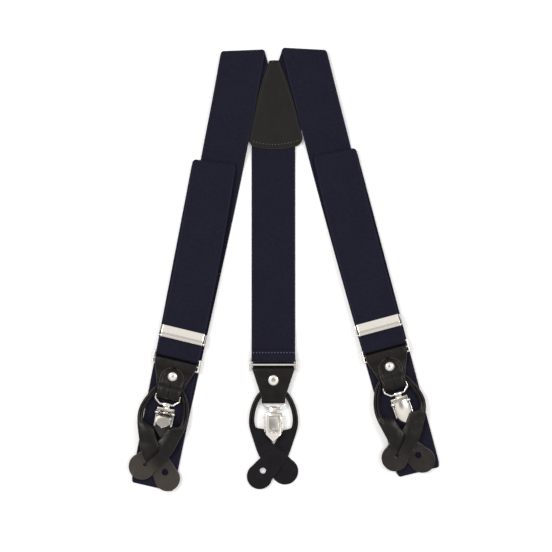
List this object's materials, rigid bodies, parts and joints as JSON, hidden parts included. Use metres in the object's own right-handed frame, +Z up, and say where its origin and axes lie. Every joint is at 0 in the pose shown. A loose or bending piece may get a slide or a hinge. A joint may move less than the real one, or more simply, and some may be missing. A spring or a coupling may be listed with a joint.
{
  "type": "suspenders",
  "caption": "Folded Y-back suspenders: elastic webbing, leather crossing patch, lever adjusters, and clip and button-loop ends.",
  "frame": {"origin": "centre of the bounding box at the face it lies on", "axes": "+Y along the back strap towards the leather patch, +X to the right, +Z up, away from the surface it lies on"},
  "size_m": [0.2494, 0.356, 0.0207],
  "materials": {
    "webbing": "fine-ribbed navy elastic webbing, matte",
    "thread": "matte sewing thread",
    "leather": "smooth black leather with a soft gloss",
    "loop_leather": "black leather, glossy face and suede back",
    "wire_nickel": "nickel-plated wire",
    "plate_nickel": "polished nickel plate",
    "rivet_nickel": "polished nickel rivet",
    "pad_rubber": "matte black rubber"
  },
  "bodies": {
    "straps": {"patch_upper": "leather", "patch_lower": "leather", "patch_stitches": "thread", "left_strap": "webbing", "left_strap_tail": "webbing", "right_strap": "webbing", "right_strap_tail": "webbing", "back_strap": "webbing", "back_strap_stitches": "thread"},
    "left_adjuster": {"left_adjuster_frame": "plate_nickel", "left_adjuster_pin": "plate_nickel"},
    "left_adjuster_cover": {"left_adjuster_lever": "plate_nickel"},
    "left_ring": {"left_ring": "wire_nickel", "left_tab": "leather", "left_rivet_cap": "rivet_nickel", "left_rivet_back": "rivet_nickel"},
    "left_bail": {"left_bail": "wire_nickel"},
    "left_clip": {"left_clip_plate": "plate_nickel", "left_clip_pin": "plate_nickel"},
    "left_jaw": {"left_clip_jaw": "plate_nickel", "left_jaw_pad": "pad_rubber"},
    "left_lever": {"left_clip_lever": "plate_nickel"},
    "left_loop": {"left_button_loop": "loop_leather"},
    "right_adjuster": {"right_adjuster_frame": "plate_nickel", "right_adjuster_pin": "plate_nickel"},
    "right_adjuster_cover": {"right_adjuster_lever": "plate_nickel"},
    "right_ring": {"right_ring": "wire_nickel", "right_tab": "leather", "right_rivet_cap": "rivet_nickel", "right_rivet_back": "rivet_nickel"},
    "right_bail": {"right_bail": "wire_nickel"},
    "right_clip": {"right_clip_plate": "plate_nickel", "right_clip_pin": "plate_nickel"},
    "right_jaw": {"right_clip_jaw": "plate_nickel", "right_jaw_pad": "pad_rubber"},
    "right_lever": {"right_clip_lever": "plate_nickel"},
    "right_loop": {"right_button_loop": "loop_leather"},
    "back_ring": {"back_ring": "wire_nickel"},
    "back_tab": {"back_tab": "leather", "back_rivet_cap": "rivet_nickel", "back_rivet_back": "rivet_nickel"},
    "back_bail": {"back_bail": "wire_nickel"},
    "back_clip": {"back_clip_plate": "plate_nickel", "back_clip_pin": "plate_nickel"},
    "back_jaw": {"back_clip_jaw": "plate_nickel", "back_jaw_pad": "pad_rubber"},
    "back_lever": {"back_clip_lever": "plate_nickel"},
    "back_loop": {"back_button_loop": "loop_leather"}
  },
  "joints": [
    {"name": "left_adjuster_slide", "type": "slide", "parent": "straps", "child": "left_adjuster", "axis": [0.2074, 0.9783, 0], "range_m": [0, 0.034], "deforming": ["left_strap_tail", "left_strap"]},
    {"name": "left_adjuster_lever_hinge", "type": "hinge", "parent": "left_adjuster", "child": "left_adjuster_cover", "pos_m": [-0.08238, -0.05566, 0.0096], "axis": [0.9724, -0.2334, 0], "range_deg": [0, 100]},
    {"name": "left_ring_hinge", "type": "hinge", "parent": "straps", "child": "left_ring", "pos_m": [-0.08555, -0.06888, 0.00615], "axis": [-0.9724, 0.2334, 0], "range_deg": [0, 60]},
    {"name": "left_bail_hinge", "type": "hinge", "parent": "left_ring", "child": "left_bail", "pos_m": [-0.09311, -0.10039, 0.00615], "axis": [-0.9848, 0.1736, 0], "range_deg": [0, 30]},
    {"name": "left_clip_swing", "type": "hinge", "parent": "left_bail", "child": "left_clip", "pos_m": [-0.09436, -0.10748, 0.00615], "axis": [-0.9848, 0.1736, 0], "range_deg": [0, 15]},
    {"name": "left_loop_swing", "type": "hinge", "parent": "left_ring", "child": "left_loop", "pos_m": [-0.09195, -0.09552, 0.0069], "axis": [-0.9833, 0.1822, 0], "range_deg": [0, 42]},
    {"name": "left_lever_hinge", "type": "hinge", "parent": "left_clip", "child": "left_lever", "pos_m": [-0.09561, -0.11457, 0.00685], "axis": [-0.9848, 0.1736, 0], "range_deg": [-55, 45]},
    {"name": "left_jaw_hinge", "type": "hinge", "parent": "left_clip", "child": "left_jaw", "pos_m": [-0.09561, -0.11457, 0.00685], "axis": [-0.9848, 0.1736, 0], "range_deg": [-3.3, 2.7]},
    {"name": "right_adjuster_slide", "type": "slide", "parent": "straps", "child": "right_adjuster", "axis": [-0.2666, 0.9638, 0], "range_m": [0, 0.034], "deforming": ["right_strap_tail", "right_strap"]},
    {"name": "right_adjuster_lever_hinge", "type": "hinge", "parent": "right_adjuster", "child": "right_adjuster_cover", "pos_m": [0.07583, -0.04774, 0.0096], "axis": [0.9659, 0.2588, 0], "range_deg": [0, 100]},
    {"name": "right_ring_hinge", "type": "hinge", "parent": "straps", "child": "right_ring", "pos_m": [0.07935, -0.06088, 0.00615], "axis": [-0.9659, -0.2588, 0], "range_deg": [0, 60]},
    {"name": "right_bail_hinge", "type": "hinge", "parent": "right_ring", "child": "right_bail", "pos_m": [0.08774, -0.09218, 0.00615], "axis": [-0.9455, -0.3256, 0], "range_deg": [0, 30]},
    {"name": "right_clip_swing", "type": "hinge", "parent": "right_bail", "child": "right_clip", "pos_m": [0.09008, -0.09898, 0.00615], "axis": [-0.9455, -0.3256, 0], "range_deg": [0, 15]},
    {"name": "right_loop_swing", "type": "hinge", "parent": "right_ring", "child": "right_loop", "pos_m": [0.08644, -0.08735, 0.0069], "axis": [-0.9816, -0.1908, 0], "range_deg": [0, 42]},
    {"name": "right_lever_hinge", "type": "hinge", "parent": "right_clip", "child": "right_lever", "pos_m": [0.09242, -0.10579, 0.00685], "axis": [-0.9455, -0.3256, 0], "range_deg": [0, 100], "deforming": ["right_button_loop"]},
    {"name": "right_jaw_hinge", "type": "hinge", "parent": "right_clip", "child": "right_jaw", "pos_m": [0.09242, -0.10579, 0.00685], "axis": [-0.9455, -0.3256, 0], "range_deg": [0, 6]},
    {"name": "back_ring_hinge", "type": "hinge", "parent": "straps", "child": "back_ring", "pos_m": [-0.00905, -0.07138, 0.0046], "axis": [-1, 0, 0], "range_deg": [0, 60]},
    {"name": "back_tab_hinge", "type": "hinge", "parent": "back_ring", "child": "back_tab", "pos_m": [-0.00905, -0.08018, 0.0046], "axis": [-1, 0, 0], "range_deg": [0, 60]},
    {"name": "back_bail_hinge", "type": "hinge", "parent": "back_tab", "child": "back_bail", "pos_m": [-0.00905, -0.10378, 0.0046], "axis": [-1, 0, 0], "range_deg": [0, 30]},
    {"name": "back_clip_swing", "type": "hinge", "parent": "back_bail", "child": "back_clip", "pos_m": [-0.00905, -0.11098, 0.0046], "axis": [-1, 0, 0], "range_deg": [0, 15]},
    {"name": "back_loop_swing", "type": "hinge", "parent": "back_tab", "child": "back_loop", "pos_m": [-0.00905, -0.09878, 0.00385], "axis": [-1, 0, 0], "range_deg": [0, 30]},
    {"name": "back_lever_hinge", "type": "hinge", "parent": "back_clip", "child": "back_lever", "pos_m": [-0.00905, -0.11818, 0.0039], "axis": [1, 0, 0], "range_deg": [0, 100]},
    {"name": "back_jaw_hinge", "type": "hinge", "parent": "back_clip", "child": "back_jaw", "pos_m": [-0.00905, -0.11818, 0.0039], "axis": [1, 0, 0], "range_deg": [0, 6]}
  ],
  "couplings": [
    {"joint": "left_clip_swing", "follows": "left_bail_hinge", "ratio": 0.5},
    {"joint": "left_loop_swing", "follows": "left_bail_hinge", "ratio": 1.4},
    {"joint": "left_jaw_hinge", "follows": "left_lever_hinge", "ratio": 0.06},
    {"joint": "right_clip_swing", "follows": "right_bail_hinge", "ratio": 0.5},
    {"joint": "right_loop_swing", "follows": "right_bail_hinge", "ratio": 1.4},
    {"joint": "right_jaw_hinge", "follows": "right_lever_hinge", "ratio": 0.06},
    {"joint": "back_clip_swing", "follows": "back_bail_hinge", "ratio": 0.5},
    {"joint": "back_loop_swing", "follows": "back_bail_hinge", "ratio": 1},
    {"joint": "back_jaw_hinge", "follows": "back_lever_hinge", "ratio": 0.06}
  ]
}
